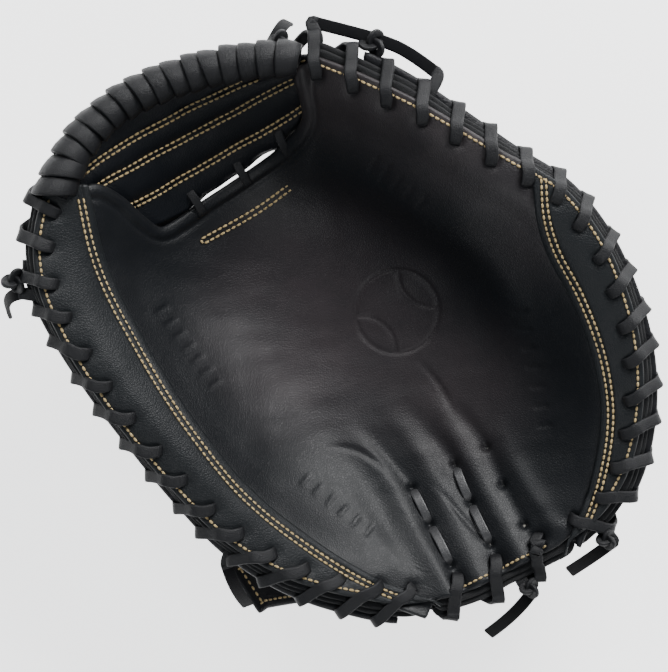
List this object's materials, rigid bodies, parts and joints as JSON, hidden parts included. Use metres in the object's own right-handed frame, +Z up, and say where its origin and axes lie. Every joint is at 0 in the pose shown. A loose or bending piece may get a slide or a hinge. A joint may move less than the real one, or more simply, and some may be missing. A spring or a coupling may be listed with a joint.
{
  "type": "catcher's mitt",
  "caption": "Padded leather catcher's mitt with a laced rim, a one-piece web and a rolled bar; it folds part way along the pocket.",
  "frame": {"origin": "on the surface that the mitt lies on, under the middle of its outline", "axes": "+Z up out of the pocket, +Y from the heel to the web, +X towards the finger side"},
  "size_m": [0.2506, 0.3004, 0.1152],
  "materials": {
    "shell_leather": "satin",
    "panel_leather": "satin",
    "welt_leather": "matte",
    "lace_leather": "satin",
    "liner_leather": "matte",
    "felt": "matte",
    "fleece": "matte"
  },
  "bodies": {
    "finger_side": {"palm_leather": "shell_leather", "finger_side_panel": "panel_leather", "finger_pad": "felt", "finger_palm_liner": "liner_leather", "finger_rim_welt": "welt_leather", "heel_welt": "welt_leather", "finger_back_shell": "shell_leather", "finger_perimeter_lace": "lace_leather", "heel_perimeter_lace": "lace_leather", "heel_hinge_lace_thumb": "lace_leather", "heel_hinge_lace_finger": "lace_leather", "index_finger_guard": "shell_leather", "little_finger_loop": "liner_leather", "wrist_strap": "shell_leather", "wrist_strap_fleece": "fleece", "heel_tail_lace": "lace_leather", "heel_corner_tail_lace": "lace_leather", "bridge_lace": "lace_leather"},
    "thumb_side": {"thumb_side_panel": "panel_leather", "thumb_pad": "felt", "thumb_palm_liner": "liner_leather", "thumb_rim_welt": "welt_leather", "thumb_back_shell": "shell_leather", "thumb_perimeter_lace": "lace_leather", "thumb_loop": "liner_leather", "thumb_tail_lace": "lace_leather", "thumb_lower_tail_lace": "lace_leather"},
    "web": {"web_panel": "shell_leather", "web_back_panel": "liner_leather", "web_bar_core": "shell_leather", "web_bar_wrap": "lace_leather", "web_slot_lace": "lace_leather", "web_tail_lace": "lace_leather"}
  },
  "joints": [
    {"name": "pocket_fold", "type": "hinge", "parent": "finger_side", "child": "thumb_side", "pos_m": [-0.021, -0.137, 0.022], "axis": [0.0638, 0.9886, 0.1367], "range_deg": [0, 30], "stiffness_Nm_per_rad": 1.5, "deforming": ["palm_leather", "heel_welt", "heel_perimeter_lace", "wrist_strap", "heel_hinge_lace_thumb"]},
    {"name": "web_fold", "type": "hinge", "parent": "finger_side", "child": "web", "pos_m": [-0.021, -0.137, 0.022], "axis": [0.0638, 0.9886, 0.1367], "range_deg": [0, 15], "deforming": ["web_bar_wrap", "web_slot_lace"]}
  ],
  "couplings": [
    {"joint": "web_fold", "follows": "pocket_fold", "ratio": 0.5}
  ]
}
